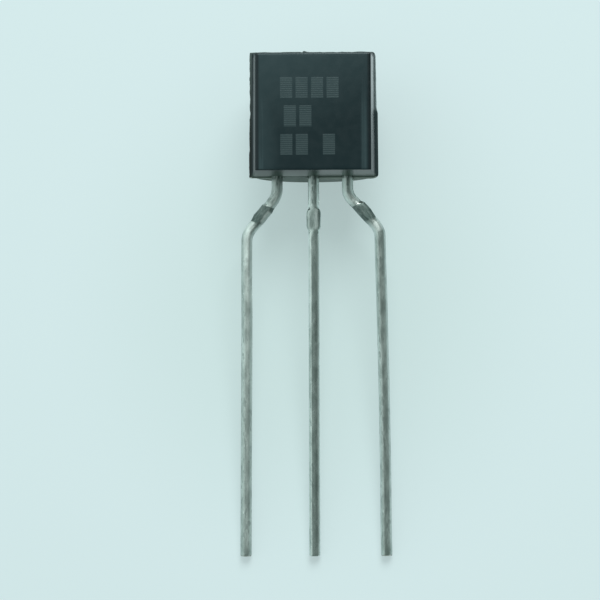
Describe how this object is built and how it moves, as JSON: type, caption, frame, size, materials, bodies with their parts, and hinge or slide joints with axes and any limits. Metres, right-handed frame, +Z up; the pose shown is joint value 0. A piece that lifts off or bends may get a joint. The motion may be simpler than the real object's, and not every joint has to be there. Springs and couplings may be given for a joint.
{
  "type": "to-92 transistor",
  "caption": "Small moulded D-section transistor with a flat front, round back and formed tinned leads, lying flat face up.",
  "frame": {"origin": "centre of the bounding box, on the surface that the part lies on", "axes": "+Z up, the flat face looks up and leans towards -Y; leads point towards -Y; +X is to the right when the flat face is looked at with the leads down"},
  "size_m": [0.0054, 0.0182, 0.004],
  "materials": {
    "moulding_compound": "satin",
    "tinned_lead": "satin",
    "silicon": "polished",
    "silver_adhesive": "matte",
    "bond_wire_gold": "polished"
  },
  "bodies": {
    "root": {"package_body": "moulding_compound", "emitter_lead": "tinned_lead", "base_lead": "tinned_lead", "collector_lead": "tinned_lead", "silicon_die": "silicon", "die_attach": "silver_adhesive", "emitter_bond_wire": "bond_wire_gold", "base_bond_wire": "bond_wire_gold"}
  },
  "joints": []
}
